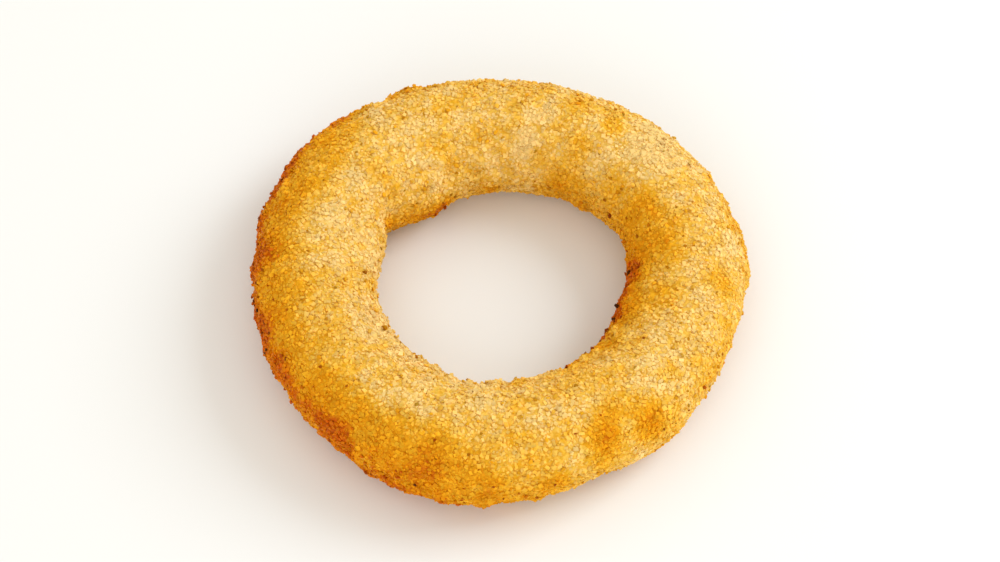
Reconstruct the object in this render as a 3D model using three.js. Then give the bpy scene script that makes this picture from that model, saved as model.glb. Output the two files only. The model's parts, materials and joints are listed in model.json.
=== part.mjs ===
// One crumbed onion ring, fried and lying flat. Millimetres, +Z up.
//
// A formed ring of chopped onion is dipped in batter and rolled in fine crumb, so it has no edge or
// seam: it is one closed body with a rounded section that swells and thins on its way round. The hole
// goes right through. The underside is pressed a little flat, where the ring lay to drain.
//
// The origin is the middle of the footprint, on the surface that the ring lies on. Turns are counted
// from +X towards +Y. A place on the crust is a turn round the ring and a turn round its section,
// where 0 faces away from the hole, 90 up, 180 into the hole and 270 down.

import * as THREE from 'three';
import { ImprovedNoise } from 'three/addons/math/ImprovedNoise.js';

// Driving dimensions: the ring as a whole.
const RING_WIDTH = 69.1;     // across the outside, under the crumbs
const SECTION_WIDTH = 16.3;  // of the crust, from the hole to the outside
const SECTION_HEIGHT = 14.4; // of the crust, before the underside is pressed flat
const PRESSED_DEPTH = 0.4;   // how much of the underside is pressed flat

// How the ring departs from a true circle. The waves swing once, twice and so on round the ring,
// each by its millimetres, and stand out first at its turn, in degrees.
const MIDLINE_WAVES = [[0, 0], [0.3, 45], [0.5, 23], [0.12, 10]];
const WIDTH_WAVES = [[0.29, 207], [0.3, 157], [0.2, 0]];
const HEIGHT_WAVES = [[0.29, 164], [0.24, 63], [0.15, 40]];

// Swellings and hollows of the batter: turn round the ring and turn round the section in degrees,
// spread along and across the crust, and height, which is negative for a hollow.
const LUMPS = [
  { at: 124, side: 205, along: 3.2, across: 4.5, height: 1.1 },
  { at: 147, side: 198, along: 3.0, across: 4.5, height: -1.2 },
  { at: 318, side: 150, along: 6.0, across: 4.5, height: -0.8 },
  { at: 220, side: 155, along: 7.0, across: 5.0, height: -0.5 },
  { at: 140, side: 30, along: 6.0, across: 5.0, height: 0.5 },
  { at: 311, side: 330, along: 3.0, across: 3.5, height: 0.7 },
  { at: 292, side: 320, along: 5.0, across: 4.0, height: -0.4 },
  { at: 318, side: 55, along: 4.5, across: 4.0, height: 0.6 },
  { at: 60, side: 80, along: 5.0, across: 4.0, height: 0.5 },
  { at: 178, side: 95, along: 6.0, across: 4.0, height: -0.4 },
  { at: 345, side: 345, along: 5.0, across: 5.0, height: -0.7 },
  { at: 22, side: 15, along: 4.0, across: 5.0, height: -0.5 },
  { at: 100, side: 30, along: 7.0, across: 5.0, height: 0.5 },
];

// Small clumps of crumb and pits between them, strewn over the crust.
const CLUMPS = { count: 60, spread: 1.2, tallest: 0.45, deepest: 0.3 };

// Rolling relief of the crust, each with its pitch and its swing to either side.
const RIPPLE = { pitch: 8, swing: 0.35 };
const PIMPLE = { pitch: 3.2, swing: 0.2 };

// The crumb coat. Its corners lie in rows round the ring, and each corner is a crumb.
const STEPS_ROUND = 128;
const ROWS = 44;                // an even number, as each row is half a step on from the last
const CRUMB_SIZE = 0.6;         // how far the largest crumbs stand out
const CRUMB_SCATTER = 0.25;     // how far a crumb may stray from its place, in steps
const CRUMB_SEED = 20;

const TURN = 2 * Math.PI;
const radians = THREE.MathUtils.degToRad;
const noise = new ImprovedNoise();
const { seededRandom } = THREE.MathUtils;

// Sum of the waves at a turn round the ring.
function waves(list, turn) {
  return list.reduce((sum, [swing, peak], n) => {
    const phase = (n + 1) * (turn - radians(peak));
    return sum + swing * Math.cos(phase);
  }, 0);
}

// The smallest angle from one turn to another, either way.
function turnBetween(a, b) {
  return Math.abs(THREE.MathUtils.euclideanModulo(a - b + Math.PI, TURN) - Math.PI);
}

// The ring's midline radius and its section's half width and half height at a turn.
function sectionAt(turn) {
  return {
    midline: (RING_WIDTH - SECTION_WIDTH) / 2 + waves(MIDLINE_WAVES, turn),
    halfWidth: SECTION_WIDTH / 2 + waves(WIDTH_WAVES, turn),
    halfHeight: SECTION_HEIGHT / 2 + waves(HEIGHT_WAVES, turn),
  };
}

// A smooth point of the crust and the way it faces, before any relief.
function smoothCrust(turn, side) {
  const { midline, halfWidth, halfHeight } = sectionAt(turn);
  const out = Math.cos(side);
  const up = Math.sin(side);
  const outward = new THREE.Vector3(Math.cos(turn), Math.sin(turn), 0);
  const point = outward.clone().multiplyScalar(midline + halfWidth * out);
  point.z = halfHeight * (1 + up) - PRESSED_DEPTH;
  const normal = outward.multiplyScalar(out / halfWidth);
  normal.z = up / halfHeight;
  return { point, normal: normal.normalize() };
}

// The clumps and pits, drawn as lumps anywhere on the crust.
function strewClumps({ count, spread, tallest, deepest }) {
  return Array.from({ length: count }, () => ({
    at: seededRandom() * 360,
    side: seededRandom() * 360,
    along: spread,
    across: spread,
    height: seededRandom() * (tallest + deepest) - deepest,
  }));
}

// Height of the lumps at a place on the crust, each a rounded mound.
function lumpHeight(lumps, turn, side) {
  const { midline, halfWidth } = sectionAt(turn);
  return lumps.reduce((sum, lump) => {
    const along = turnBetween(turn, radians(lump.at)) * midline / lump.along;
    const across = turnBetween(side, radians(lump.side)) * halfWidth / lump.across;
    return sum + lump.height * Math.exp(-(along ** 2 + across ** 2) / 2);
  }, 0);
}

// Height of a rolling relief at a point.
function reliefHeight({ pitch, swing }, point) {
  return swing * noise.noise(point.x / pitch, point.y / pitch, point.z / pitch);
}

// How far a crumb strays from its place, either way.
function stray() {
  return (seededRandom() - 0.5) * 2 * CRUMB_SCATTER;
}

// The place of one crumb's corner, which is never below the surface that the ring lies on. Most
// crumbs lie low and a few stand out.
function crumbPoint(lumps, row, step) {
  const turn = (step + row % 2 / 2 + stray()) / STEPS_ROUND * TURN;
  const side = (row + stray()) / ROWS * TURN;
  const crumb = CRUMB_SIZE * seededRandom() ** 2;
  const { point, normal } = smoothCrust(turn, side);
  const relief = reliefHeight(RIPPLE, point) + reliefHeight(PIMPLE, point);
  point.addScaledVector(normal, lumpHeight(lumps, turn, side) + relief + crumb);
  point.z = Math.max(point.z, 0);
  return point;
}

// The four corners between two rows and two steps make two faces. The rows are staggered, so the
// short way across changes from row to row.
function facesBetween(row, step) {
  const corner = (rowOn, stepOn) => (row + rowOn) % ROWS * STEPS_ROUND + (step + stepOn) % STEPS_ROUND;
  const [a, b, c, d] = [corner(0, 0), corner(0, 1), corner(1, 1), corner(1, 0)];
  return row % 2 ? [a, b, c, a, c, d] : [a, b, d, b, c, d];
}

// The crumbed crust, closed both round the ring and round its section.
function crustGeometry() {
  seededRandom(CRUMB_SEED);
  const lumps = [...LUMPS, ...strewClumps(CLUMPS)];
  const points = [];
  const faces = [];
  for (let row = 0; row < ROWS; row += 1) {
    for (let step = 0; step < STEPS_ROUND; step += 1) {
      points.push(crumbPoint(lumps, row, step));
      faces.push(...facesBetween(row, step));
    }
  }
  const crust = new THREE.BufferGeometry().setFromPoints(points).setIndex(faces);
  crust.computeVertexNormals();
  return crust;
}

// Moves the crust so that the origin is under the middle of its box, on the surface it lies on.
function centred(geometry) {
  geometry.computeBoundingBox();
  const middle = geometry.boundingBox.getCenter(new THREE.Vector3());
  return geometry.translate(-middle.x, -middle.y, -geometry.boundingBox.min.z);
}

const fried = new THREE.MeshStandardMaterial({
  color: '#e8ae4c',
  roughness: 0.7,
  metalness: 0,
  flatShading: true,
});
const ring = new THREE.Mesh(centred(crustGeometry()), fried);
ring.name = 'onion_ring';

const part = new THREE.Group();
part.add(ring);

export default part;
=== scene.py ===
# %% [markdown]
# # A crumbed and fried onion ring
#
# The real ring is a hoop of chopped onion, dipped in batter, rolled in fine crumb and fried. What shows is
# only the coat: a soft, uneven crust in gold and amber, and thousands of crumbs half sunk in it.
#
# The lesson follows the order of the kitchen. First comes the batter crust, wrapped onto the fixed frame so
# that it keeps the true size. Then it gets its relief, its crumbs and the colours of frying, and at the end
# come the floor, the light and the camera.

# %% Load the fixed frame
import json
import math

import bpy
import numpy as np
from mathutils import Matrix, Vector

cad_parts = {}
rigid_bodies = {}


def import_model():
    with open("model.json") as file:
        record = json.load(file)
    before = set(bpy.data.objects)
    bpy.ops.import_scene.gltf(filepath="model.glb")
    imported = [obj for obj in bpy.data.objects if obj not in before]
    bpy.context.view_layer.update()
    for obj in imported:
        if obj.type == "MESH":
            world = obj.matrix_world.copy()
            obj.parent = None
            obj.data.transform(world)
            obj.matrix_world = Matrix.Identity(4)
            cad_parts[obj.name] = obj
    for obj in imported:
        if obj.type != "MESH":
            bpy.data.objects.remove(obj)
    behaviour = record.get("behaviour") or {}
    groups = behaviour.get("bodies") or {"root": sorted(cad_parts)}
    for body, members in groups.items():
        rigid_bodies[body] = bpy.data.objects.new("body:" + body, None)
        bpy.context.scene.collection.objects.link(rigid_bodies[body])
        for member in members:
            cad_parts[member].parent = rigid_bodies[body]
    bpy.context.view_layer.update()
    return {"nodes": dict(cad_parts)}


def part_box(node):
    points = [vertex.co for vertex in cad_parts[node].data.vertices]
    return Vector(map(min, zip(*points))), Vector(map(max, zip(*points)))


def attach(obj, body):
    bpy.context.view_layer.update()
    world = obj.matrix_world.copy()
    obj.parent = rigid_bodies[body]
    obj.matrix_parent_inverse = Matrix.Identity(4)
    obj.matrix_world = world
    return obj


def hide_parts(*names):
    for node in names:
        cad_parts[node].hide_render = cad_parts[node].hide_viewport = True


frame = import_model()
ring_node = frame["nodes"]["onion_ring"]
ring_low, ring_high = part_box("onion_ring")
print("frame box in mm", [round(1000 * n, 2) for n in (*ring_low, *ring_high)])

# %% [markdown]
# ## Sizes
#
# Everything is worked out from the frame's box and the thickness of the crust. Blender counts in metres,
# and a cook's sizes are millimetres, so `MM` turns one into the other wherever a size is written.

# %% Sizes
MM = 0.001
RING_WIDTH = ring_high.x - ring_low.x
RING_HEIGHT = ring_high.z - ring_low.z
CRUST_WIDTH = 16.5 * MM  # from the hole to the outside
MID_RADIUS = (RING_WIDTH - CRUST_WIDTH) / 2
print("ring", round(RING_WIDTH / MM, 1), "mm wide, middle line at", round(MID_RADIUS / MM, 1), "mm")

# %% [markdown]
# ## Two helpers for working by hand
#
# An operator acts on whatever is selected, and the frame arrives selected. So each step first picks its one
# object. A modifier is a promise until it is applied, and the next step needs the real mesh, so each is
# applied as soon as it is set.


# %% Select one object, apply a modifier
def pick(piece):
    """Makes the piece the only one selected, and the active one."""
    bpy.ops.object.select_all(action="DESELECT")
    piece.select_set(True)
    bpy.context.view_layer.objects.active = piece


def apply_modifier(piece, kind, **settings):
    """Adds a modifier of this kind, sets it up and applies it."""
    pick(piece)
    modifier = piece.modifiers.new(kind.lower(), kind)
    for name, value in settings.items():
        setattr(modifier, name, value)
    bpy.ops.object.modifier_apply(modifier=modifier.name)


# %% [markdown]
# ## The batter crust
#
# The crust is a thick hoop with a rounded section that swells and thins. It could be sculpted, or bridged
# from dozens of drawn sections. A torus is quicker, and it brings an even grid of faces that runs round the
# ring and round its section, which carries fine relief well. In edit mode its round section is pressed a
# little flat.

# %% Start with a torus
STEPS_ROUND = 256  # the most that the operator makes, so each face is cut in four once more
STEPS_ACROSS = 80

bpy.ops.object.select_all(action="DESELECT")
bpy.ops.mesh.primitive_torus_add(
    major_radius=MID_RADIUS,
    minor_radius=CRUST_WIDTH / 2,
    major_segments=STEPS_ROUND,
    minor_segments=STEPS_ACROSS,
    location=(0, 0, RING_HEIGHT / 2),
)
crust = bpy.context.object
crust.name = crust.data.name = "crust"
bpy.ops.object.transform_apply(location=True, rotation=True, scale=True)

bpy.ops.object.mode_set(mode="EDIT")
bpy.ops.mesh.select_all(action="SELECT")
bpy.ops.mesh.subdivide(number_cuts=1)
bpy.ops.transform.resize(
    value=(1, 1, RING_HEIGHT / CRUST_WIDTH), center_override=(0, 0, RING_HEIGHT / 2)
)
bpy.ops.object.mode_set(mode="OBJECT")
print("crust grid", len(crust.data.vertices), "corners")

# %% [markdown]
# The frame's solid knows where the real ring swells and where it is hollow. A Shrinkwrap modifier slides
# every corner of the grid along its normal onto that solid, and stops a quarter of a millimetre short to
# leave room for the crumbs. Smoothing then takes out the solid's small facets and leaves its swellings.

# %% Wrap it onto the frame
ROOM_FOR_CRUMBS = 0.25 * MM
SMOOTHING_ROUNDS = 16

apply_modifier(
    crust,
    "SHRINKWRAP",
    target=ring_node,
    wrap_method="PROJECT",
    use_negative_direction=True,
    use_positive_direction=True,
    offset=-ROOM_FOR_CRUMBS,
)
apply_modifier(crust, "SMOOTH", factor=0.5, iterations=SMOOTHING_ROUNDS)
print("crust top at", round(max(v.co.z for v in crust.data.vertices) / MM, 2), "mm")

# %% [markdown]
# ## Relief of the crust
#
# Batter sets in small blisters, and the crumb in it makes it grainy. A bump in the material would shade
# like that, but it would leave the outline smooth. So both are real relief: two Displace modifiers push the
# grid in and out, one by soft clouds a few millimetres wide, the other by clouds the size of a crumb.


# %% Blisters and grain
def displace(piece, name, width, swing, detail):
    """Pushes the piece in and out along its normals, by clouds of this width."""
    clouds = bpy.data.textures.new(name, "CLOUDS")
    clouds.noise_scale = width
    clouds.noise_depth = detail
    apply_modifier(
        piece, "DISPLACE", texture=clouds, texture_coords="LOCAL", strength=swing, mid_level=0.5
    )


displace(crust, "blisters", width=2.6 * MM, swing=0.3 * MM, detail=2)
displace(crust, "grain", width=0.7 * MM, swing=0.35 * MM, detail=1)
print("crust top now at", round(max(v.co.z for v in crust.data.vertices) / MM, 2), "mm")

# %% [markdown]
# The ring lay to drain, so its underside is a flat band. What lies lower than a hair above the floor is
# picked by its height and squashed level in edit mode. The hair is room for the crumbs under the ring,
# which are what touches the floor.

# %% Press the underside flat
FLOOR_GAP = 0.08 * MM

for corner in crust.data.vertices:
    corner.select = corner.co.z < FLOOR_GAP
for edge in crust.data.edges:
    edge.select = all(crust.data.vertices[i].select for i in edge.vertices)
for face in crust.data.polygons:
    face.select = all(crust.data.vertices[i].select for i in face.vertices)
pick(crust)
bpy.ops.object.mode_set(mode="EDIT")
bpy.ops.mesh.select_mode(type="VERT")
bpy.ops.transform.resize(value=(1, 1, 0), center_override=(0, 0, FLOOR_GAP))
bpy.ops.object.mode_set(mode="OBJECT")
bpy.ops.object.shade_smooth()
print("crust lowest point", round(min(v.co.z for v in crust.data.vertices) / MM, 3), "mm")

# %% [markdown]
# ## A map for the crust
#
# A finished model carries its colours in a picture, and a map says which part of the picture each face
# gets. The torus comes with a map that runs once round the ring and once round the section. The way round
# the ring is far longer, so one strip would be squeezed. Cut in two and stacked, the strips keep their
# detail both ways.

# %% Fold the map into two strips
STRIPS = 2

crust_map = crust.data.uv_layers[0]
crust_map.name = "OFBake"
crust_spots = np.empty(len(crust.data.loops) * 2, np.float32)
crust_map.uv.foreach_get("vector", crust_spots)
crust_spots = crust_spots.reshape(-1, 4, 2)  # faces, corners, across and up
strip = np.floor(crust_spots[:, :, 0].mean(axis=1, keepdims=True) * STRIPS)
crust_spots[:, :, 0] = crust_spots[:, :, 0] * STRIPS - strip
crust_spots[:, :, 1] = (crust_spots[:, :, 1] + strip) / STRIPS
crust_map.uv.foreach_set("vector", crust_spots.ravel())
print("crust map in", STRIPS, "strips")

# %% [markdown]
# ## The shapes of grains and crumbs
#
# A crumb is a broken bit of dry bread: angular, a little flat, never twice the same. It could be cut from a
# bigger block, but a small ball with its corners moved by chance looks right and costs only twenty faces.
# The fine grains between the crumbs are mostly under half a millimetre, so a jittered cube with six faces
# is enough for them. A few shapes of each will do, because every grain is also turned and scaled by chance.

# %% Break a primitive up
SHAPE_LENGTH = 1.15
SHAPE_HEIGHT = 0.7
SHAPE_WIDTH = 0.95
NARROWING = 0.3  # the last shape is almost this much narrower than the first


def break_up(name, count, add_primitive, jitter):
    """A collection of shapes about one unit wide, each a primitive with its corners moved by chance."""
    collection = bpy.data.collections.new(name)
    for n in range(count):
        bpy.ops.object.select_all(action="DESELECT")
        add_primitive()
        shape = bpy.context.object
        shape.name = shape.data.name = f"{name}_{n}"
        bpy.ops.object.mode_set(mode="EDIT")
        bpy.ops.mesh.select_all(action="SELECT")
        bpy.ops.transform.vertex_random(offset=jitter, seed=n)
        bpy.ops.transform.resize(value=(SHAPE_LENGTH, SHAPE_WIDTH - NARROWING * n / count, SHAPE_HEIGHT))
        bpy.ops.uv.smart_project(angle_limit=math.radians(80), island_margin=0.02)
        bpy.ops.object.mode_set(mode="OBJECT")
        shape.data.uv_layers[0].name = "OFBake"
        for home in shape.users_collection:
            home.objects.unlink(shape)
        collection.objects.link(shape)
    print(name, count, "shapes of", len(shape.data.polygons), "faces")
    return collection


# %% Crumbs and grains
crumb_shapes = break_up(
    "crumb_shapes",
    6,
    lambda: bpy.ops.mesh.primitive_ico_sphere_add(subdivisions=1, radius=0.5),
    jitter=0.22,
)
grain_shapes = break_up("grain_shapes", 5, lambda: bpy.ops.mesh.primitive_cube_add(size=0.8), jitter=0.2)

# %% [markdown]
# ## Helpers for node trees
#
# The strewing and the colours are both built from nodes. Wired by hand in the editor, a node is added, its
# fields are filled in and its sockets are linked. These few functions do the same three things, so that
# each line below reads as one node.


# %% Add a node and take its result
def add_node(tree, kind, inputs=(), **settings):
    """Adds a node, sets it up, and gives each named input its value or links it to a socket."""
    node = tree.nodes.new(kind)
    for name, value in settings.items():
        setattr(node, name, value)
    for name, value in dict(inputs).items():
        sockets = [s for s in node.inputs if s.enabled and name in (s.name, s.identifier)]
        if isinstance(value, bpy.types.NodeSocket):
            tree.links.new(value, sockets[0])
        else:
            sockets[0].default_value = value
    return node


def out(node, name=None):
    """The node's output of this name, or its first one that is in use."""
    return next(s for s in node.outputs if s.enabled and name in (None, s.name))


# %% Small sums in a node tree
def maths(tree, operation, *values):
    """The result of a Math node."""
    inputs = dict(zip(("Value", "Value_001", "Value_002"), values))
    return out(add_node(tree, "ShaderNodeMath", inputs, operation=operation))


def vector_maths(tree, operation, *values, result="Vector", **named):
    """The result of a Vector Math node, which is its "Value" where it measures something."""
    inputs = dict(zip(("Vector", "Vector_001", "Vector_002"), values)) | named
    return out(add_node(tree, "ShaderNodeVectorMath", inputs, operation=operation), result)


# %% Noise and ramps
def noise(tree, vector, width, detail=2.0, roughness=0.5):
    """Noise with a grain of this width, in the unit of the vector."""
    inputs = {"Vector": vector, "Scale": 1 / width, "Detail": detail, "Roughness": roughness}
    return out(add_node(tree, "ShaderNodeTexNoise", inputs))


def ramp(tree, value, low, high, to_low=0.0, to_high=1.0):
    """Turns low to high into to_low to to_high, eased at both ends."""
    inputs = {"Value": value, "From Min": low, "From Max": high, "To Min": to_low, "To Max": to_high}
    return out(add_node(tree, "ShaderNodeMapRange", inputs, interpolation_type="SMOOTHSTEP"))


# %% [markdown]
# ## Strewing
#
# The real coat is some thousands of crumbs to a ring, so they aren't placed by hand. A particle system
# could scatter them, but a Geometry Nodes group can also give each crumb a colour of its own and press it
# on the floor. The group does what the cook does: it scatters, turns, sizes and sinks. It is built once,
# and each kind of crumb fills in its inputs.

# %% What the strewing group asks for
SOCKETS = [
    ("Crust", "INPUT", "NodeSocketGeometry"),
    ("Shapes", "INPUT", "NodeSocketCollection"),
    ("Material", "INPUT", "NodeSocketMaterial"),
    ("Spacing", "INPUT", "NodeSocketFloat"),
    ("Density", "INPUT", "NodeSocketFloat"),
    ("Patchiness", "INPUT", "NodeSocketFloat"),
    ("Smallest", "INPUT", "NodeSocketFloat"),
    ("Largest", "INPUT", "NodeSocketFloat"),
    ("Sunk", "INPUT", "NodeSocketFloat"),
    ("Seed", "INPUT", "NodeSocketInt"),
    ("Crumbs", "OUTPUT", "NodeSocketGeometry"),
]
strewing = bpy.data.node_groups.new("strewing", "GeometryNodeTree")
for socket_name, way, socket_type in SOCKETS:
    strewing.interface.new_socket(socket_name, in_out=way, socket_type=socket_type)
given = strewing.nodes.new("NodeGroupInput").outputs
position = out(add_node(strewing, "GeometryNodeInputPosition"))
print("strewing group with", len(SOCKETS) - 1, "inputs")

# %% [markdown]
# Rolled crumb doesn't lie evenly: a kind is common in one place and rare a few millimetres on. So soft
# noise thins the density, shifted for each kind by its seed. The points are then scattered the Poisson way,
# which keeps any two of them at least one spacing apart, as crumbs can't share a place.

# %% Where the crumbs land
PATCH_WIDTH = 6 * MM
USUAL_SHARE = 0.75  # of the density that is asked for

uneven = noise(strewing, vector_maths(strewing, "ADD", position, given["Seed"]), PATCH_WIDTH, detail=1.0)
off_middle = maths(strewing, "SUBTRACT", uneven, 0.5)
landing = add_node(
    strewing,
    "GeometryNodeDistributePointsOnFaces",
    {
        "Mesh": given["Crust"],
        "Distance Min": given["Spacing"],
        "Density Max": given["Density"],
        "Density Factor": maths(strewing, "MULTIPLY_ADD", off_middle, given["Patchiness"], USUAL_SHARE),
        "Seed": given["Seed"],
    },
    distribute_method="POISSON",
)
print("patches of crumb", round(PATCH_WIDTH / MM), "mm wide")

# %% [markdown]
# A crumb lands any way round, but it tends to lie flat, so it is spun fully about the crust's normal and
# tipped by up to half a radian the other two ways.

# %% Turned by chance
MOST_TIPPED = 0.5  # radians, either way

any_turn = add_node(
    strewing,
    "FunctionNodeRandomValue",
    {
        "Min": (-MOST_TIPPED, -MOST_TIPPED, 0),
        "Max": (MOST_TIPPED, MOST_TIPPED, 2 * math.pi),
        "Seed": given["Seed"],
    },
    data_type="FLOAT_VECTOR",
)
own_turn = out(add_node(strewing, "FunctionNodeEulerToRotation", {"Euler": out(any_turn)}))
turned = add_node(
    strewing,
    "FunctionNodeRotateRotation",
    {"Rotation": out(landing, "Rotation"), "Rotate By": own_turn},
    rotation_space="LOCAL",
)
print("crumbs tipped by up to", round(math.degrees(MOST_TIPPED)), "degrees")

# %% [markdown]
# Sieved crumb has many small bits and few large ones. A chance number raised to a power leans that way. The
# larger a crumb is, the deeper it sinks into the batter, or the further it stands out where the share is
# below zero.

# %% Sized and sunk
TO_THE_SMALL = 1.6  # the power, where 1 would make all sizes equally common


def chance_number(step):
    """A number from 0 to 1 of each crumb's own, from the seed and this step."""
    inputs = {"Min": 0.0, "Max": 1.0, "Seed": maths(strewing, "ADD", given["Seed"], step)}
    return out(add_node(strewing, "FunctionNodeRandomValue", inputs, data_type="FLOAT"))


size_range = maths(strewing, "SUBTRACT", given["Largest"], given["Smallest"])
share = maths(strewing, "POWER", chance_number(1), TO_THE_SMALL)
size = maths(strewing, "MULTIPLY_ADD", share, size_range, given["Smallest"])
outwards = maths(strewing, "MULTIPLY", maths(strewing, "MULTIPLY", size, given["Sunk"]), -1)
offset = vector_maths(strewing, "SCALE", out(landing, "Normal"), Scale=outwards)
sunk = add_node(strewing, "GeometryNodeSetPosition", {"Geometry": out(landing, "Points"), "Offset": offset})
print("crumb sizes lean to the small by a power of", TO_THE_SMALL)

# %% [markdown]
# Each point now gets one of the shapes, as an instance: a light copy that only notes which shape it shows,
# how it is turned and how large it is. Thousands of them cost little, and nothing has to be modelled twice.

# %% One shape on each point
kinds = add_node(
    strewing,
    "GeometryNodeCollectionInfo",
    {"Collection": given["Shapes"], "Separate Children": True, "Reset Children": True},
)
crumbs = add_node(
    strewing,
    "GeometryNodeInstanceOnPoints",
    {
        "Points": out(sunk),
        "Instance": out(kinds),
        "Pick Instance": True,
        "Rotation": out(turned),
        "Scale": size,
    },
)
print("strewing group so far", len(strewing.nodes), "nodes")

# %% [markdown]
# No two crumbs fry to quite the same colour, so each is given a `tone`, a chance number that its material
# reads later. It also gets a running `number`. Both are stored while a crumb is still one instance. Then
# the instances are realized, because a strewn crumb has to be a real piece of the mesh.


# %% A tone and a number for each
def store(geometry, name, value, **settings):
    """The geometry with this value stored as a named attribute."""
    inputs = {"Geometry": geometry, "Name": name, "Value": value}
    return out(add_node(strewing, "GeometryNodeStoreNamedAttribute", inputs, **settings))


def stored(name, data_type):
    """The value of a named attribute."""
    return out(add_node(strewing, "GeometryNodeInputNamedAttribute", {"Name": name}, data_type=data_type))


index = out(add_node(strewing, "GeometryNodeInputIndex"))
toned = store(out(crumbs), "tone", chance_number(2), data_type="FLOAT", domain="INSTANCE")
numbered = store(toned, "number", index, data_type="FLOAT", domain="INSTANCE")
realized = out(add_node(strewing, "GeometryNodeRealizeInstances", {"Geometry": numbered}))
print("strewing group so far", len(strewing.nodes), "nodes")

# %% [markdown]
# All copies of a shape share its map, so in a baked picture they would lie on top of each other. The number
# puts each crumb's map in a cell of its own: the picture is divided like squared paper, with about as many
# rows as columns, and a small margin in each cell keeps neighbours apart.

# %% A cell of the map for each
CELL_SHARE = 0.8
CELL_MARGIN = 0.1

counted = add_node(
    strewing, "GeometryNodeAttributeDomainSize", {"Geometry": toned}, component="INSTANCES"
)
cells = maths(strewing, "CEIL", maths(strewing, "SQRT", out(counted, "Instance Count")))
number = stored("number", "FLOAT")
row = maths(strewing, "FLOOR", maths(strewing, "DIVIDE", number, cells))
column = maths(strewing, "SUBTRACT", number, maths(strewing, "MULTIPLY", row, cells))
cell = out(add_node(strewing, "ShaderNodeCombineXYZ", {"X": column, "Y": row}))
inside = vector_maths(
    strewing,
    "MULTIPLY_ADD",
    stored("OFBake", "FLOAT_VECTOR"),
    (CELL_SHARE, CELL_SHARE, 0),
    (CELL_MARGIN, CELL_MARGIN, 0),
)
cell_width = maths(strewing, "DIVIDE", 1.0, cells)
spot = vector_maths(strewing, "SCALE", vector_maths(strewing, "ADD", cell, inside), Scale=cell_width)
mapped = store(realized, "OFBake", spot, data_type="FLOAT2", domain="CORNER")
print("each crumb's map fills", CELL_SHARE, "of its cell")

# %% [markdown]
# The ring's own weight presses the crumbs under it flat. So every corner that would be below the floor is
# lifted to it, which leaves a crumb with a flat foot. Then the group gives the crumbs their material and
# forgets the number, which has done its work.

# %% Pressed flat on the floor
height = out(add_node(strewing, "ShaderNodeSeparateXYZ", {"Vector": position}), "Z")
too_low = maths(strewing, "MAXIMUM", maths(strewing, "MULTIPLY", height, -1), 0.0)
lift = out(add_node(strewing, "ShaderNodeCombineXYZ", {"Z": too_low}))
pressed = out(add_node(strewing, "GeometryNodeSetPosition", {"Geometry": mapped, "Offset": lift}))
finished = out(
    add_node(strewing, "GeometryNodeSetMaterial", {"Geometry": pressed, "Material": given["Material"]})
)
unnumbered = add_node(strewing, "GeometryNodeRemoveAttribute", {"Geometry": finished, "Name": "number"})
strewing.links.new(out(unnumbered), strewing.nodes.new("NodeGroupOutput").inputs["Crumbs"])
print("strewing group", len(strewing.nodes), "nodes")

# %% [markdown]
# To strew one kind, a copy of the crust gets this group as a modifier, the inputs are filled in, and the
# modifier is applied. The group passes on only what it strewed, so what is left is a piece of crumbs alone.


# %% Strew one kind of crumb
def strew(name, shapes, material, **values):
    """Makes a piece of one kind of crumb, strewn over the crust by the strewing group."""
    pick(crust)
    bpy.ops.object.duplicate()
    piece = bpy.context.object
    piece.name = piece.data.name = name
    modifier = piece.modifiers.new("strewing", "NODES")
    modifier.node_group = strewing
    values |= {"Shapes": shapes, "Material": material}
    for item in strewing.interface.items_tree:
        if item.in_out == "INPUT" and item.name in values:
            modifier[item.identifier] = values[item.name]
    bpy.ops.object.modifier_apply(modifier=modifier.name)
    return piece


# %% [markdown]
# ## The colours of frying
#
# Frying leaves most of the ring gold and browns some places more. The colours could be painted on by hand,
# but then the crust and the crumbs in it wouldn't agree. So one shader group works out, from a place on the
# ring, how browned it is, as a single number, and the same number also carries painted shade on the walls
# turned from the light and painted highlight in some paler places. Every material asks the same group, so a
# browned or shaded patch runs through the crust and all its crumbs alike.

# %% The browning group
browning_and_shade = bpy.data.node_groups.new("browning_and_shade", "ShaderNodeTree")
browning_and_shade.interface.new_socket("Place", in_out="INPUT", socket_type="NodeSocketVector")
browning_and_shade.interface.new_socket("Browned", in_out="OUTPUT", socket_type="NodeSocketFloat")
asked_place = browning_and_shade.nodes.new("NodeGroupInput").outputs["Place"]
place_mm = vector_maths(browning_and_shade, "SCALE", asked_place, Scale=1 / MM)
print("browning group asks for a place and gives one number")

# %% [markdown]
# The first part of that number follows the shape. The outer wall on the left, and most of all its rim, is
# browner, and on the other side so is the wall of the hole. This is partly the browning of edges in the pan
# and partly painted shade, because these are the walls turned away from the key light on the right. The
# ring is also a little browner towards the floor. Each of these is a ramp over a distance in millimetres.

# %% Browner walls, rim and underside
MIDDLE = MID_RADIUS / MM
TO_THE_LEFT = (-0.98 / 35, -0.20 / 35, 0)  # grows to one at the rim, 35 mm from the axis
LEFT_BROWNED_AND_SHADED = (0.05, 0.34)  # from the other side to the left
RIGHT_BROWNED_AND_SHADED = (0.0, 0.32)  # from the middle to the right
UNDERSIDE_BROWNED = (0.0, 0.16)  # from the wall down to the floor

level_place = vector_maths(browning_and_shade, "MULTIPLY", place_mm, (1, 1, 0))
from_axis = vector_maths(browning_and_shade, "LENGTH", level_place, result="Value")
leftness = vector_maths(browning_and_shade, "DOT_PRODUCT", level_place, TO_THE_LEFT, result="Value")
height_mm = out(add_node(browning_and_shade, "ShaderNodeSeparateXYZ", {"Vector": place_mm}), "Z")

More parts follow.
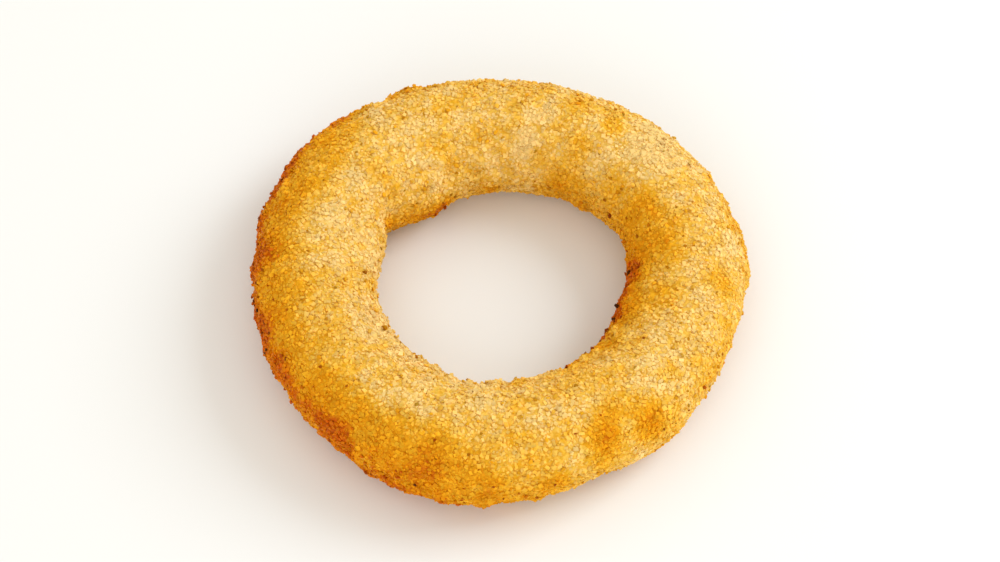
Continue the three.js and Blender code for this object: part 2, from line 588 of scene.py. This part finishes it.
outer_wall = ramp(browning_and_shade, from_axis, MIDDLE - 1.5, MIDDLE + 6.5)
hole_wall = ramp(browning_and_shade, from_axis, MIDDLE - 5, MIDDLE - 8.5)
rim = ramp(browning_and_shade, from_axis, MIDDLE + 6, MIDDLE + 8.5)
# Painted shade mixed with browning of the edges: the walls turned from the key light are made browner.
left_browned_and_shaded = ramp(browning_and_shade, leftness, -0.3, 0.9, *LEFT_BROWNED_AND_SHADED)
right_browned_and_shaded = ramp(browning_and_shade, leftness, -0.15, -0.5, *RIGHT_BROWNED_AND_SHADED)
underneath = ramp(browning_and_shade, height_mm, 6.0, 1.0, *UNDERSIDE_BROWNED)

outside = maths(browning_and_shade, "MULTIPLY", maths(browning_and_shade, "ADD", rim, outer_wall), left_browned_and_shaded)
walls = maths(browning_and_shade, "ADD", outside, maths(browning_and_shade, "MULTIPLY", hole_wall, right_browned_and_shaded))
print("browning reaches", round(MIDDLE + 8.5, 1), "mm from the axis at the rim")

# %% [markdown]
# The second part is mottling, because hot oil bubbles and browns unevenly. Real mottling has no single
# size, so three layers of noise are added up, from a centimetre wide to the size of a few crumbs. Each has
# a width in millimetres, the range of the noise that counts, and how much browner the ring is from one end
# of that range to the other.

# %% Mottling
MOTTLING = [
    (10.0, (0.30, 0.70), (-0.04, 0.05)),
    (5.0, (0.35, 0.70), (0.01, 0.09)),
    (2.2, (0.30, 0.70), (-0.02, 0.09)),
]

wide, broad, fine = [
    ramp(browning_and_shade, noise(browning_and_shade, place_mm, width), *noise_range, *browner)
    for width, noise_range, browner in MOTTLING
]
browned_and_shaded_so_far = maths(browning_and_shade, "ADD", walls, maths(browning_and_shade, "ADD", broad, fine))
browned_and_shaded_so_far = maths(browning_and_shade, "ADD", browned_and_shaded_so_far, maths(browning_and_shade, "ADD", wide, underneath))
print("mottling in layers", [width for width, _, _ in MOTTLING], "mm wide")

# %% [markdown]
# The last part is patches. Some browned where the crust caught, and some are painted shade, above all on
# the wall of the hole and on the left side, where the crust is turned from the key light. The paler places
# are partly painted highlight. They make one ring look different from the next, so they are set down one by
# one.
# Each is a place on the ring in millimetres, how far it reaches, and how much browner it is, or paler where
# that is below zero.

# %% Patches, set down one by one
BROWNED_SHADED_AND_LIT_PATCHES = [
    # Near side.
    ((-22.0, -26.5, 10.0), 3.4, 0.30),
    ((-24.0, -25.0, 9.5), 3.0, 0.22),
    ((-9.0, -31.5, 12.0), 5.0, 0.20),
    ((-30.0, -16.0, 9.0), 5.0, 0.24),
    ((20.5, -25.0, 10.0), 4.4, 0.37),
    ((14.0, -27.5, 11.5), 4.4, 0.28),
    ((15.0, -25.0, 12.5), 4.0, 0.20),
    ((17.5, -23.5, 12.5), 3.4, 0.14),
    ((14.5, -29.5, 9.0), 5.5, 0.22),
    ((7.5, -33.5, 7.0), 3.8, 0.26),
    ((9.5, -19.0, 12.5), 6.0, 0.14),
    ((9.0, -23.0, 14.0), 4.2, 0.12),
    # Wall of the hole, partly painted shade where it is turned from the light.
    ((-13.5, 13.0, 5.5), 5.0, 0.36),
    ((-8.5, 15.0, 4.5), 4.2, 0.60),
    ((-16.0, 10.0, 6.5), 3.0, 0.34),
    ((17.5, 1.0, 7.0), 4.4, 0.62),
    ((18.5, 0.5, 8.5), 3.0, 0.28),
    ((16.5, -3.0, 7.0), 4.0, 0.58),
    ((15.5, -6.5, 7.5), 3.4, 0.44),
    ((13.5, -9.5, 7.0), 3.4, 0.47),
    ((12.0, -12.5, 8.5), 3.0, 0.45),
    ((9.0, -15.5, 9.0), 2.8, 0.36),
    ((8.5, 17.5, 6.5), 2.4, 0.18),
    ((-1.5, 18.5, 4.5), 2.4, 0.28),
    ((2.5, -19.5, 12.0), 2.4, 0.18),
    # Right side.
    ((30.5, -2.5, 11.5), 4.0, 0.16),
    ((20.5, 10.0, 12.5), 4.8, 0.29),
    ((23.5, 6.0, 13.0), 5.0, 0.24),
    ((21.0, 2.0, 11.0), 5.5, 0.20),
    ((21.0, -6.0, 11.5), 5.0, 0.18),
    ((25.0, 1.0, 13.0), 5.2, 0.15),
    ((24.0, -4.5, 12.5), 4.0, 0.18),
    ((25.0, -10.0, 12.5), 4.0, 0.10),
    ((20.0, 8.0, 10.0), 4.6, 0.15),
    # Far side.
    ((16.0, 22.5, 14.5), 3.4, 0.22),
    ((11.5, 19.5, 13.0), 3.8, 0.22),
    ((11.5, 26.0, 14.5), 4.0, 0.22),
    ((-9.5, 20.5, 12.5), 3.2, 0.08),
    ((-3.5, 21.5, 12.5), 3.0, 0.08),
    ((16.5, 14.0, 12.0), 3.8, 0.18),
    # Left side, partly painted shade.
    ((-22.5, -13.5, 14.5), 4.0, 0.12),
    ((-33.0, 2.0, 10.5), 5.0, 0.22),
    ((-27.0, -5.5, 14.0), 4.2, 0.17),
    ((-33.5, -8.5, 9.5), 5.0, 0.20),
    ((-23.5, 16.0, 14.5), 3.4, 0.19),
    # Places that are paler, partly painted highlight.
    ((-18.5, -28.5, 8.0), 4.5, -0.18),
    ((-8.0, -25.5, 14.5), 3.5, -0.14),
    ((-5.0, -34.5, 6.5), 4.0, -0.10),
    ((-20.5, -21.5, 13.5), 3.0, -0.10),
    ((15.5, -9.5, 10.0), 3.2, -0.08),
    ((-19.5, 18.0, 14.5), 3.5, -0.10),
    ((-18.0, 27.0, 12.5), 7.0, -0.22),
    ((-32.0, 11.5, 10.5), 4.2, -0.16),
    ((-20.0, 5.5, 13.0), 6.0, -0.13),
    ((-17.0, -10.0, 11.0), 7.0, -0.18),
    ((-12.5, -16.0, 12.0), 4.2, -0.26),
    ((-14.0, -24.0, 14.0), 8.0, -0.08),
    ((4.0, 21.5, 12.5), 5.0, -0.17),
    ((22.0, 18.5, 14.0), 9.0, -0.12),
    ((32.5, 4.5, 10.5), 5.2, -0.24),
    ((29.5, 12.5, 12.0), 4.0, -0.10),
    ((0.5, 31.0, 12.5), 3.5, -0.12),
    ((20.5, 22.0, 14.0), 4.0, -0.22),
    ((25.5, -15.5, 12.0), 4.0, -0.09),
    ((18.5, -18.5, 13.0), 4.0, -0.06),
]
print(len(BROWNED_SHADED_AND_LIT_PATCHES), "patches")

# %% [markdown]
# A round patch would look stamped on. So the distance from its middle is first made ragged by noise, the
# same for all patches, and the browning fades with that. Where several patches overlap they would add up to
# black, so the sum is stopped at a deep brown.

# %% Ragged patches
RAGGED_BY = 4.0  # mm
MOST_BROWNED = 0.7

in_or_out = maths(browning_and_shade, "SUBTRACT", noise(browning_and_shade, place_mm, 2.2), 0.5)
ragged = maths(browning_and_shade, "MULTIPLY", in_or_out, RAGGED_BY)
# Patches of browning, of painted shade and of painted highlight are added alike.
for centre, reach, browner in BROWNED_SHADED_AND_LIT_PATCHES:
    distance = vector_maths(browning_and_shade, "DISTANCE", place_mm, centre, result="Value")
    patch = ramp(browning_and_shade, maths(browning_and_shade, "ADD", distance, ragged), reach, 0.0, 0.0, browner)
    browned_and_shaded_so_far = maths(browning_and_shade, "ADD", browned_and_shaded_so_far, patch)
most = maths(browning_and_shade, "MINIMUM", browned_and_shaded_so_far, MOST_BROWNED)
browning_and_shade.links.new(most, browning_and_shade.nodes.new("NodeGroupOutput").inputs["Browned"])
print("browning group", len(browning_and_shade.nodes), "nodes")

# %% [markdown]
# The second group turns that number into a colour, from pale gold through amber to dark brown. A colour
# ramp does it, with steps that are uneven as they are in the pan: gold lasts long, and the last browns come
# fast. A shade, which only darkens, is asked for beside it, so that a crumb can be dark without being
# redder. The same shade carries the painted shade in the pores of the batter and on crumbs turned from the
# light.

# %% The frying colours
FRYING_COLOURS = [
    (0.00, (0.915, 0.628, 0.230)),
    (0.15, (0.885, 0.525, 0.080)),
    (0.30, (0.850, 0.420, 0.016)),
    (0.50, (0.770, 0.300, 0.002)),
    (0.72, (0.600, 0.108, 0.001)),
    (1.00, (0.140, 0.040, 0.006)),
]

frying = bpy.data.node_groups.new("frying_colour", "ShaderNodeTree")
frying.interface.new_socket("Browned", in_out="INPUT", socket_type="NodeSocketFloat")
frying.interface.new_socket("Shade", in_out="INPUT", socket_type="NodeSocketFloat")
frying.interface.new_socket("Colour", in_out="OUTPUT", socket_type="NodeSocketColor")
asked = frying.nodes.new("NodeGroupInput").outputs
colours = add_node(frying, "ShaderNodeValToRGB", {"Fac": asked["Browned"]})
while len(colours.color_ramp.elements) < len(FRYING_COLOURS):
    colours.color_ramp.elements.new(0.5)
for element, (step, colour) in zip(colours.color_ramp.elements, FRYING_COLOURS):
    element.position = step
    element.color = (*colour, 1)
shaded = vector_maths(frying, "SCALE", out(colours), Scale=asked["Shade"])
frying.links.new(shaded, frying.nodes.new("NodeGroupOutput").inputs["Colour"])
print("frying colours in", len(colours.color_ramp.elements), "steps")

# %% [markdown]
# ## Materials
#
# Fried crumb is a dull solid with a trace of oil on it, and light gets a little way in, which softens the
# crumb's shadows. So the shader is a rough Principled one with hardly any gloss and some subsurface, and
# red light reaches furthest into it.

# %% Start a material
ROUGHNESS = 0.5
GLOSS = 0.06
LIGHT_REACH = 0.8 * MM
REACH_OF_COLOURS = (1.0, 0.5, 0.2)


def start_material(name, subsurface):
    """A material with its shader, and the socket that holds the place on the ring."""
    material = bpy.data.materials.new(name)
    material.use_nodes = True
    shader = material.node_tree.nodes["Principled BSDF"]
    shader.inputs["Roughness"].default_value = ROUGHNESS
    shader.inputs["Specular IOR Level"].default_value = GLOSS
    shader.inputs["Subsurface Weight"].default_value = subsurface
    shader.inputs["Subsurface Radius"].default_value = REACH_OF_COLOURS
    shader.inputs["Subsurface Scale"].default_value = LIGHT_REACH
    where = out(add_node(material.node_tree, "ShaderNodeTexCoord"), "Object")
    return material, shader, where


def place_group(tree, group, **inputs):
    """Places a shader group in a material's tree, fills its inputs and returns its output."""
    node = tree.nodes.new("ShaderNodeGroup")
    node.node_tree = group
    for name, socket in inputs.items():
        tree.links.new(socket, node.inputs[name])
    return out(node)


# %% [markdown]
# Between the crumbs the batter shows. It is a shade browner than they are and full of pores half a
# millimetre wide, which are deeper, browner and rougher than the skin around them, and darker by painted
# shade, the shade that falls into a pore being painted into its colour. One noise drives all four, so that
# they agree.

# %% The batter
PORE_WIDTH = 0.5  # mm
PORE_DEPTH = 0.15  # mm
PORE_RANGE = (0.3, 0.7)  # of the noise, from the bottom of a pore to the skin
PORE_BROWNER = 0.04
# Painted shade, from the bottom of a pore to the skin.
PORE_PAINTED_SHADES = (0.79, 1.01)
PORE_ROUGHNESS = (0.65, 0.42)


def make_batter(name, browner):
    """The batter between the crumbs, this much browner than the rest."""
    material, shader, where = start_material(name, subsurface=0.15)
    tree = material.node_tree
    where_mm = vector_maths(tree, "SCALE", where, Scale=1 / MM)
    pores = noise(tree, where_mm, PORE_WIDTH, detail=3.0, roughness=0.6)
    pore_browner = ramp(tree, pores, *PORE_RANGE, browner + PORE_BROWNER, browner - PORE_BROWNER)
    browned = maths(tree, "ADD", place_group(tree, browning_and_shade, Place=where), pore_browner)
    # Painted shade: the pores are darker.
    shade = ramp(tree, pores, *PORE_RANGE, *PORE_PAINTED_SHADES)
    tree.links.new(place_group(tree, frying, Browned=browned, Shade=shade), shader.inputs["Base Color"])
    bump = {"Height": pores, "Distance": PORE_DEPTH * MM, "Strength": 0.6}
    tree.links.new(out(add_node(tree, "ShaderNodeBump", bump)), shader.inputs["Normal"])
    tree.links.new(ramp(tree, pores, *PORE_RANGE, *PORE_ROUGHNESS), shader.inputs["Roughness"])
    print("material", name)
    return material


crust.data.materials.append(make_batter("batter", browner=0.08))

# %% [markdown]
# A crumb is one colour all over, because it is so small. Its tone moves it along the frying colours, by as
# much as its kind varies. The last digits of the same tone serve as a second chance number, which shades
# it: some crumbs are darker without being browner, as if they were turned from the light.

# %% The crumbs
DARKEST_GRAIN = 0.785
SHADE_RANGE = 0.29  # from the darkest crumb of a kind to the lightest
TONE_REPEATS = 7.0  # how often the shade runs from dark to light along the tones


def make_crumb(name, browner, variety, darkest=DARKEST_GRAIN):
    """One kind of crumb, browner or paler than the ring around it, and this varied from one to the next."""
    material, shader, where = start_material(name, subsurface=0.1)
    tree = material.node_tree
    tone = out(add_node(tree, "ShaderNodeAttribute", attribute_name="tone"), "Fac")
    own = maths(tree, "MULTIPLY_ADD", tone, variety, browner - variety / 2)
    browned = maths(tree, "ADD", place_group(tree, browning_and_shade, Place=where), own)
    second_chance = maths(tree, "FRACT", maths(tree, "MULTIPLY", tone, TONE_REPEATS))
    shade = maths(tree, "MULTIPLY_ADD", second_chance, SHADE_RANGE, darkest)
    tree.links.new(place_group(tree, frying, Browned=browned, Shade=shade), shader.inputs["Base Color"])
    print("material", name)
    return material


# %% [markdown]
# ## The crumb coat
#
# A real coat is a mix. Fine grains cover nearly all of the batter: pale ones, and as many golden and amber
# ones. They could be one piece with mixed colours, but as three pieces each can lie in patches of its own.
# Density counts crumbs to a square metre, and the spacing then thins them. Sunk is the share of its size by
# which a crumb sinks, and below zero it stands out.

# %% Strew the fine grains
coat = [
    strew(
        "grains_pale",
        grain_shapes,
        make_crumb("pale_grain", browner=-0.045, variety=0.03),
        Spacing=0.46 * MM,
        Density=4.1e6,
        Patchiness=0.8,
        Smallest=0.30 * MM,
        Largest=0.76 * MM,
        Sunk=-0.04,
        Seed=1,
    ),
    strew(
        "grains_golden",
        grain_shapes,
        make_crumb("golden_grain", browner=-0.03, variety=0.04),
        Spacing=0.46 * MM,
        Density=4.1e6,
        Patchiness=0.8,
        Smallest=0.30 * MM,
        Largest=0.76 * MM,
        Sunk=0.04,
        Seed=2,
    ),
    strew(
        "grains_amber",
        grain_shapes,
        make_crumb("amber_grain", browner=0.01, variety=0.05),
        Spacing=0.50 * MM,
        Density=3.5e6,
        Patchiness=1.2,
        Smallest=0.30 * MM,
        Largest=0.74 * MM,
        Sunk=-0.04,
        Seed=3,
    ),
]

# %% [markdown]
# Over the grains lie the crumbs that the eye picks out: coarse ones up to a millimetre, small ones that
# stand proud and make the outline rough, and a scatter of toasted ones. They are fewer and more varied, and
# the browner ones stand out from the coat, as that is why they browned.

# %% Strew the larger crumbs
coat += [
    strew(
        "crumbs_coarse",
        crumb_shapes,
        make_crumb("coarse_crumb", browner=-0.035, variety=0.08),
        Spacing=1.0 * MM,
        Density=1.1e6,
        Patchiness=1.5,
        Smallest=0.6 * MM,
        Largest=1.1 * MM,
        Sunk=0.1,
        Seed=4,
    ),
    strew(
        "crumbs_proud",
        crumb_shapes,
        make_crumb("proud_crumb", browner=0.08, variety=0.32, darkest=0.70),
        Spacing=0.9 * MM,
        Density=0.5e6,
        Patchiness=1.5,
        Smallest=0.35 * MM,
        Largest=0.75 * MM,
        Sunk=-0.45,
        Seed=5,
    ),
    strew(
        "crumbs_toasted",
        crumb_shapes,
        make_crumb("toasted_crumb", browner=0.28, variety=0.2, darkest=0.45),
        Spacing=1.4 * MM,
        Density=0.08e6,
        Patchiness=2.0,
        Smallest=0.3 * MM,
        Largest=0.6 * MM,
        Sunk=-0.4,
        Seed=6,
    ),
]

# %% [markdown]
# ## Burnt specks, some of them painted shade
#
# A few crumbs are burnt, brown to almost black, most of them on the edge of the hole and on the rim. The
# row of them along the right edge of the hole and those on the right rim are also painted shade, a dark
# line where these edges are turned from the light. The eye goes to them at once, so they aren't left to
# chance. Each is listed as a place on the ring and a width, both in millimetres.

# %% Specks, set down one by one
# Burnt crumbs; those on the right edge of the hole and on the right rim are also painted shade.
BURNT_AND_SHADE_SPECKS = [
    ((-19.0, -1.0, 11.0), 0.80),
    ((-17.0, 5.0, 8.5), 0.60),
    ((-16.0, -10.0, 10.5), 1.00),
    ((-11.5, -15.0, 11.0), 0.65),
    ((16.0, 12.0, 7.0), 0.85),
    ((14.0, 17.5, 14.0), 0.50),
    ((10.0, -28.5, 12.5), 0.40),
    ((26.0, 3.5, 15.0), 0.45),
    ((26.5, -22.0, 7.5), 0.50),
    ((-34.0, -6.0, 9.0), 0.60),
    ((18.0, 2.0, 7.0), 0.85),
    ((17.5, -1.0, 8.0), 0.50),
    ((16.0, -4.5, 8.0), 0.90),
    ((15.5, -6.5, 8.0), 0.85),
    ((14.5, -8.5, 8.0), 1.00),
    ((13.5, -10.5, 8.5), 0.80),
    ((12.5, -12.5, 9.5), 1.05),
    ((11.5, -13.0, 9.5), 0.50),
    ((9.0, -15.5, 10.0), 0.75),
    ((24.0, -23.5, 7.5), 0.60),
    ((22.5, -25.0, 8.0), 0.45),
    ((28.0, -18.0, 8.0), 0.80),
    ((31.0, -13.0, 8.5), 0.60),
    ((33.5, 2.5, 9.5), 0.50),
    ((7.5, -33.0, 7.0), 0.50),
    ((18.5, -28.0, 8.0), 0.50),
    ((19.5, -13.0, 13.0), 0.40),
    ((-32.5, -11.5, 7.5), 0.50),
]
print(len(BURNT_AND_SHADE_SPECKS), "burnt specks")

# %% [markdown]
# A listed place is never quite on the surface. So the nearest point of the crust is looked up, and a copy
# of a crumb shape is put there, turned by chance and standing out a little. Chance also gives each speck
# the tone that its material reads.

# %% Put each speck on the crust
STANDS_OUT = 0.2  # of its width

dice = np.random.default_rng(3)
specks = []
for n, (speck_place, width) in enumerate(BURNT_AND_SHADE_SPECKS):
    _, nearest, normal, _ = crust.closest_point_on_mesh([MM * c for c in speck_place])
    speck = crumb_shapes.objects[n % len(crumb_shapes.objects)].copy()
    speck.data = speck.data.copy()
    speck.scale = [width * MM] * 3
    speck.rotation_euler = dice.uniform(0, 2 * math.pi, 3)
    speck.location = nearest + normal * width * MM * STANDS_OUT
    speck_tone = speck.data.attributes.new("tone", "FLOAT", "POINT")
    speck_tone.data.foreach_set("value", [dice.random()] * len(speck.data.vertices))
    bpy.context.scene.collection.objects.link(speck)
    specks.append(speck)

pick(specks[0])
for speck in specks:
    speck.select_set(True)
bpy.ops.object.join()
burnt = bpy.context.object
burnt.name = burnt.data.name = "crumbs_burnt"
bpy.ops.object.transform_apply(location=True, rotation=True, scale=True)
burnt.data.materials.append(make_crumb("burnt_and_shade_crumb", browner=0.45, variety=0.3, darkest=0.38))
coat.append(burnt)

# %% [markdown]
# The specks need cells in the map as the strewn crumbs do. They are one mesh now, with the same number of
# face corners in each speck, so the list of map spots can be cut into specks, and each speck's share scaled
# into its cell.

# %% A cell of the map for each speck
burnt_map = burnt.data.uv_layers["OFBake"]
burnt_spots = np.empty(len(burnt.data.loops) * 2, np.float32)
burnt_map.uv.foreach_get("vector", burnt_spots)
burnt_spots = burnt_spots.reshape(len(BURNT_AND_SHADE_SPECKS), -1, 2)
cells_across = math.ceil(math.sqrt(len(BURNT_AND_SHADE_SPECKS)))
for n, speck_spots in enumerate(burnt_spots):
    speck_cell = divmod(n, cells_across)
    speck_spots[:] = (CELL_MARGIN + CELL_SHARE * speck_spots + speck_cell) / cells_across
burnt_map.uv.foreach_set("vector", burnt_spots.ravel())
print("burnt specks in", cells_across, "columns of the map")

# %% [markdown]
# ## Floor, light and camera
#
# The ring lies on a plain white surface. The floor is a hair lower than the crumbs' flat feet, because two
# surfaces in the same place would flicker.

# %% Floor
FLOOR_DROP = 0.05 * MM
FLOOR_WHITE = (0.84, 0.84, 0.84, 1)
FLOOR_ROUGHNESS = 0.6

bpy.ops.object.select_all(action="DESELECT")
bpy.ops.mesh.primitive_plane_add(size=4, location=(0, 0, -FLOOR_DROP))
floor = bpy.context.object
floor.name = "floor"
white = bpy.data.materials.new("white_floor")
white.use_nodes = True
white.node_tree.nodes["Principled BSDF"].inputs["Base Color"].default_value = FLOOR_WHITE
white.node_tree.nodes["Principled BSDF"].inputs["Roughness"].default_value = FLOOR_ROUGHNESS
floor.data.materials.append(white)
print("floor", round(floor.dimensions.x), "m wide")

# %% [markdown]
# Food looks best in soft light from one side, which models the round of the crust. The key light stands on
# the right, a little behind the ring. A larger, weaker one in front and to the left keeps the near wall
# from going dark, and the room fills in the rest. The lamps are slightly cool and the room is warm, which
# gives the shadows their colour.

# %% Lights
LAMP_COLOUR = (0.84, 0.92, 1)
ROOM_COLOUR = (1, 0.95, 0.84, 1)
ROOM_STRENGTH = 0.88


def add_light(name, size, power, location):
    """A square soft light that faces the ring."""
    bpy.ops.object.light_add(type="AREA", location=location)
    light = bpy.context.object
    light.name = name
    light.data.size = size
    light.data.energy = power
    light.data.color = LAMP_COLOUR
    light.rotation_euler = light.location.to_track_quat("Z", "Y").to_euler()
    print(name, round(light.location.length, 2), "m away")


add_light("key_light", size=0.45, power=3.8, location=(0.62, 0.22, 0.50))
add_light("fill_light", size=0.8, power=3.2, location=(-0.15, -0.85, 0.40))
room = bpy.data.worlds.new("room")
room.use_nodes = True
room.node_tree.nodes["Background"].inputs["Color"].default_value = ROOM_COLOUR
room.node_tree.nodes["Background"].inputs["Strength"].default_value = ROOM_STRENGTH
bpy.context.scene.world = room
bpy.context.scene.view_settings.view_transform = "Standard"

# %% [markdown]
# A wide lens from close by would swell the near side of the ring. A long lens from further off keeps its
# outline true. The camera looks down at 55 degrees, so that the top and the near wall show as well as the
# far wall of the hole, and it stands back far enough for the ring to fill half the picture's width.

# %% Camera
LOOK_DOWN = math.radians(55)
LENS = 120
SENSOR = 36
RING_SHARE = 500 / 1000  # of the picture's width

aim = (ring_low + ring_high) / 2
camera_distance = RING_WIDTH / RING_SHARE * LENS / SENSOR
bpy.ops.object.camera_add(
    location=(
        aim.x,
        aim.y - camera_distance * math.cos(LOOK_DOWN),
        aim.z + camera_distance * math.sin(LOOK_DOWN),
    ),
    rotation=(math.pi / 2 - LOOK_DOWN, 0, 0),
)
camera = bpy.context.object
camera.data.lens = LENS
camera.data.sensor_width = SENSOR
bpy.context.scene.camera = camera
print("camera", round(camera_distance / MM), "mm away")

# %% [markdown]
# ## Hand the pieces to the frame
#
# Every piece rides on the frame's one body, and the frame's solid is hidden, so that the crust stands for
# it.

# %% Ride and replace
for piece in (crust, *coat):
    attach(piece, "root")
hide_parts("onion_ring")
